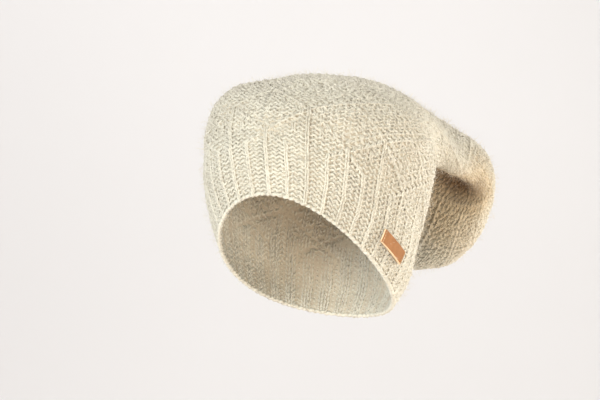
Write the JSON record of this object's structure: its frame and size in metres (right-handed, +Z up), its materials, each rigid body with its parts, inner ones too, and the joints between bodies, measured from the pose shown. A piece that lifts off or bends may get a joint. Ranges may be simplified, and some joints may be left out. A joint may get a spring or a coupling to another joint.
{
  "type": "knitted wool hat",
  "caption": "Long slouchy knitted wool hat with a ribbed band, a soft crown that falls over the back and a small leather tab.",
  "frame": {"origin": "centre of the head opening, midway between its brow edge and its nape edge", "axes": "-Y the way the wearer faces, +X the wearer's left, +Z up"},
  "size_m": [0.2079, 0.268, 0.2128],
  "materials": {
    "band_wool": "matte heathered wool, knit and purl ribs",
    "crown_wool": "matte heathered wool, textured knit with a lattice of travelling stitches",
    "tab_leather": "smooth vegetable-tanned leather with pale cut edges"
  },
  "bodies": {
    "root": {"rib_band": "band_wool", "crown": "crown_wool", "crown_top": "crown_wool", "slouch": "crown_wool", "leather_tab": "tab_leather"}
  },
  "joints": []
}
